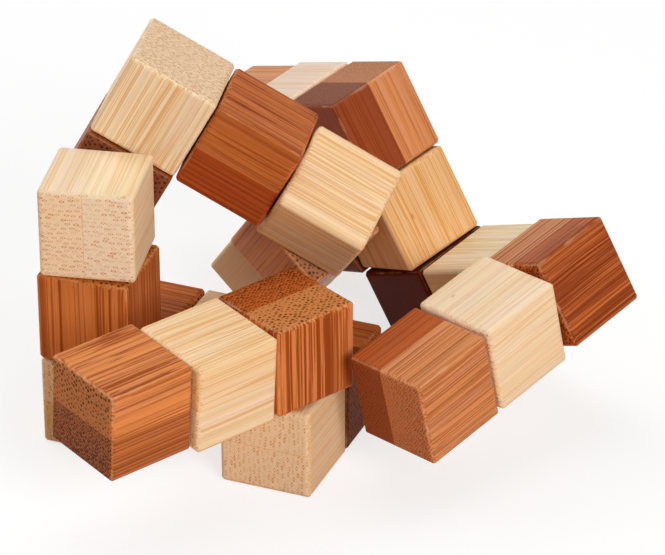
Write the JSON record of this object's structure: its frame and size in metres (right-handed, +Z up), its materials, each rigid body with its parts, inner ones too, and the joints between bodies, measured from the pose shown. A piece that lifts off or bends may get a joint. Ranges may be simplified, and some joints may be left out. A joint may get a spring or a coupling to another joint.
{
  "type": "wooden snake cube puzzle",
  "caption": "Chain of dark and light laminated bamboo cubelets on an elastic cord, part unfolded. Each cubelet twists against the next, and the chain folds into a cube.",
  "frame": {"origin": "Middle of the underside of cubelet_22, the middle cubelet of the row of three that lies flat on the table.", "axes": "+Z up from the table; +X along the flat row, to the right as pictured, from cubelet_21 towards cubelet_23; +Y away from the viewer."},
  "size_m": [0.109, 0.1278, 0.0735],
  "materials": {
    "dark_bamboo": "carbonised laminated bamboo, satin",
    "light_bamboo": "natural laminated bamboo, satin",
    "cord": "matt elastic cord",
    "glue": "dried wood glue"
  },
  "bodies": {
    "cubelet_01": {"cubelet_01": "dark_bamboo", "cord_01": "cord", "glue_first": "glue"},
    "cubelet_02": {"cubelet_02": "light_bamboo", "cord_02": "cord"},
    "cubelet_03": {"cubelet_03": "dark_bamboo", "cord_03": "cord"},
    "cubelet_04": {"cubelet_04": "light_bamboo", "cord_04": "cord"},
    "cubelet_05": {"cubelet_05": "dark_bamboo", "cord_05": "cord"},
    "cubelet_06": {"cubelet_06": "light_bamboo", "cord_06": "cord"},
    "cubelet_07": {"cubelet_07": "dark_bamboo", "cord_07": "cord"},
    "cubelet_08": {"cubelet_08": "light_bamboo", "cord_08": "cord"},
    "cubelet_09": {"cubelet_09": "dark_bamboo", "cord_09": "cord"},
    "cubelet_10": {"cubelet_10": "light_bamboo", "cord_10": "cord"},
    "cubelet_11": {"cubelet_11": "dark_bamboo", "cord_11": "cord"},
    "cubelet_12": {"cubelet_12": "light_bamboo", "cord_12": "cord"},
    "cubelet_13": {"cubelet_13": "dark_bamboo", "cord_13": "cord"},
    "cubelet_14": {"cubelet_14": "light_bamboo", "cord_14": "cord"},
    "cubelet_15": {"cubelet_15": "dark_bamboo", "cord_15": "cord"},
    "cubelet_16": {"cubelet_16": "light_bamboo", "cord_16": "cord"},
    "cubelet_17": {"cubelet_17": "dark_bamboo", "cord_17": "cord"},
    "cubelet_18": {"cubelet_18": "light_bamboo", "cord_18": "cord"},
    "cubelet_19": {"cubelet_19": "dark_bamboo", "cord_19": "cord"},
    "cubelet_20": {"cubelet_20": "light_bamboo", "cord_20": "cord"},
    "cubelet_21": {"cubelet_21": "dark_bamboo", "cord_21": "cord"},
    "cubelet_22": {"cubelet_22": "light_bamboo", "cord_22": "cord"},
    "cubelet_23": {"cubelet_23": "dark_bamboo", "cord_23": "cord"},
    "cubelet_24": {"cubelet_24": "light_bamboo", "cord_24": "cord"},
    "cubelet_25": {"cubelet_25": "dark_bamboo", "cord_25": "cord"},
    "cubelet_26": {"cubelet_26": "light_bamboo", "cord_26": "cord"},
    "cubelet_27": {"cubelet_27": "dark_bamboo", "cord_27": "cord", "glue_last": "glue"}
  },
  "joints": [
    {"name": "twist_01_02", "type": "hinge", "parent": "cubelet_02", "child": "cubelet_01", "pos_m": [0.04815, -0.00653, 0.02297], "axis": [0.376, 0.9048, 0.1999], "range_deg": [-30, 39]},
    {"name": "twist_02_03", "type": "hinge", "parent": "cubelet_03", "child": "cubelet_02", "pos_m": [0.05503, 0.01003, 0.02663], "axis": [-0.376, -0.9048, -0.1999], "range_deg": [-39, 30]},
    {"name": "twist_03_04", "type": "hinge", "parent": "cubelet_04", "child": "cubelet_03", "pos_m": [0.05144, 0.022, 0.02499], "axis": [0.8115, -0.4256, 0.4004], "range_deg": [-3, 2]},
    {"name": "twist_04_05", "type": "hinge", "parent": "cubelet_05", "child": "cubelet_04", "pos_m": [0.03659, 0.02979, 0.01767], "axis": [-0.8115, 0.4256, -0.4004], "range_deg": [-1, 9]},
    {"name": "twist_05_06", "type": "hinge", "parent": "cubelet_06", "child": "cubelet_05", "pos_m": [0.02552, 0.03358, 0.0213], "axis": [-0.4473, -0.0117, 0.8943], "range_deg": [-4, 18]},
    {"name": "twist_06_07", "type": "hinge", "parent": "cubelet_07", "child": "cubelet_06", "pos_m": [0.01733, 0.03337, 0.03767], "axis": [-0.4473, -0.0117, 0.8943], "range_deg": [-4, 5]},
    {"name": "twist_07_08", "type": "hinge", "parent": "cubelet_08", "child": "cubelet_07", "pos_m": [0.00583, 0.03826, 0.04221], "axis": [0.7677, -0.5179, 0.3773], "range_deg": [-1, 180]},
    {"name": "twist_08_09", "type": "hinge", "parent": "cubelet_09", "child": "cubelet_08", "pos_m": [-0.00822, 0.04774, 0.03531], "axis": [0.7677, -0.5179, 0.3773], "range_deg": [-1, 13]},
    {"name": "twist_09_10", "type": "hinge", "parent": "cubelet_10", "child": "cubelet_09", "pos_m": [-0.01115, 0.05258, 0.02368], "axis": [0.4473, 0.0117, -0.8943], "range_deg": [-6, 1]},
    {"name": "twist_10_11", "type": "hinge", "parent": "cubelet_11", "child": "cubelet_10", "pos_m": [-0.00003, 0.04795, 0.01895], "axis": [-0.7677, 0.5179, -0.3773], "range_deg": [-4, 5]},
    {"name": "twist_11_12", "type": "hinge", "parent": "cubelet_12", "child": "cubelet_11", "pos_m": [0.00276, 0.03458, 0.01918], "axis": [0.418, 0.8511, 0.3177], "range_deg": [-7, 131]},
    {"name": "twist_12_13", "type": "hinge", "parent": "cubelet_13", "child": "cubelet_12", "pos_m": [0.00404, 0.02165, 0.02335], "axis": [0.5038, -0.5082, 0.6985], "range_deg": [-10, 14]},
    {"name": "twist_13_14", "type": "hinge", "parent": "cubelet_14", "child": "cubelet_13", "pos_m": [0.01326, 0.01235, 0.03613], "axis": [-0.5038, 0.5082, -0.6985], "range_deg": [-33, 10]},
    {"name": "twist_14_15", "type": "hinge", "parent": "cubelet_15", "child": "cubelet_14", "pos_m": [0.0092, 0.00586, 0.04744], "axis": [-0.8555, -0.1818, 0.4848], "range_deg": [-8, 2]},
    {"name": "twist_15_16", "type": "hinge", "parent": "cubelet_16", "child": "cubelet_15", "pos_m": [-0.00645, 0.00253, 0.05631], "axis": [-0.8555, -0.1818, 0.4848], "range_deg": [-8, 2]},
    {"name": "twist_16_17", "type": "hinge", "parent": "cubelet_17", "child": "cubelet_16", "pos_m": [-0.01816, 0.00004, 0.0536], "axis": [-0.4742, -0.1008, -0.8746], "range_deg": [-19, 1]},
    {"name": "twist_17_18", "type": "hinge", "parent": "cubelet_18", "child": "cubelet_17", "pos_m": [-0.02069, -0.00935, 0.0456], "axis": [-0.2079, 0.9781, 0], "range_deg": [-30, 2]},
    {"name": "twist_18_19", "type": "hinge", "parent": "cubelet_19", "child": "cubelet_18", "pos_m": [-0.01879, -0.0183, 0.03645], "axis": [0, 0, -1], "range_deg": [-10, 3]},
    {"name": "twist_19_20", "type": "hinge", "parent": "cubelet_20", "child": "cubelet_19", "pos_m": [-0.01879, -0.0183, 0.01815], "axis": [0, 0, 1], "range_deg": [-3, 27]},
    {"name": "twist_20_21", "type": "hinge", "parent": "cubelet_21", "child": "cubelet_20", "pos_m": [-0.01879, -0.00915, 0.009], "axis": [0, 1, 0], "range_deg": [-7, 1]},
    {"name": "twist_21_22", "type": "hinge", "parent": "cubelet_22", "child": "cubelet_21", "pos_m": [-0.00915, 0, 0.009], "axis": [1, 0, 0], "range_deg": [-132, 15]},
    {"name": "twist_22_23", "type": "hinge", "parent": "cubelet_22", "child": "cubelet_23", "pos_m": [0.00915, 0, 0.009], "axis": [1, 0, 0], "range_deg": [-15, 144]},
    {"name": "twist_23_24", "type": "hinge", "parent": "cubelet_23", "child": "cubelet_24", "pos_m": [0.0183, -0.00964, 0.009], "axis": [0, -1, 0], "range_deg": [-8, 4]},
    {"name": "twist_24_25", "type": "hinge", "parent": "cubelet_24", "child": "cubelet_25", "pos_m": [0.0183, -0.01879, 0.01815], "axis": [0, 0, -1], "range_deg": [-29, 26]},
    {"name": "twist_25_26", "type": "hinge", "parent": "cubelet_25", "child": "cubelet_26", "pos_m": [0.014, -0.02687, 0.0273], "axis": [-0.4695, -0.8829, 0], "range_deg": [-15, 6]},
    {"name": "twist_26_27", "type": "hinge", "parent": "cubelet_26", "child": "cubelet_27", "pos_m": [0.00541, -0.04303, 0.0273], "axis": [-0.4695, -0.8829, 0], "continuous": true}
  ]
}
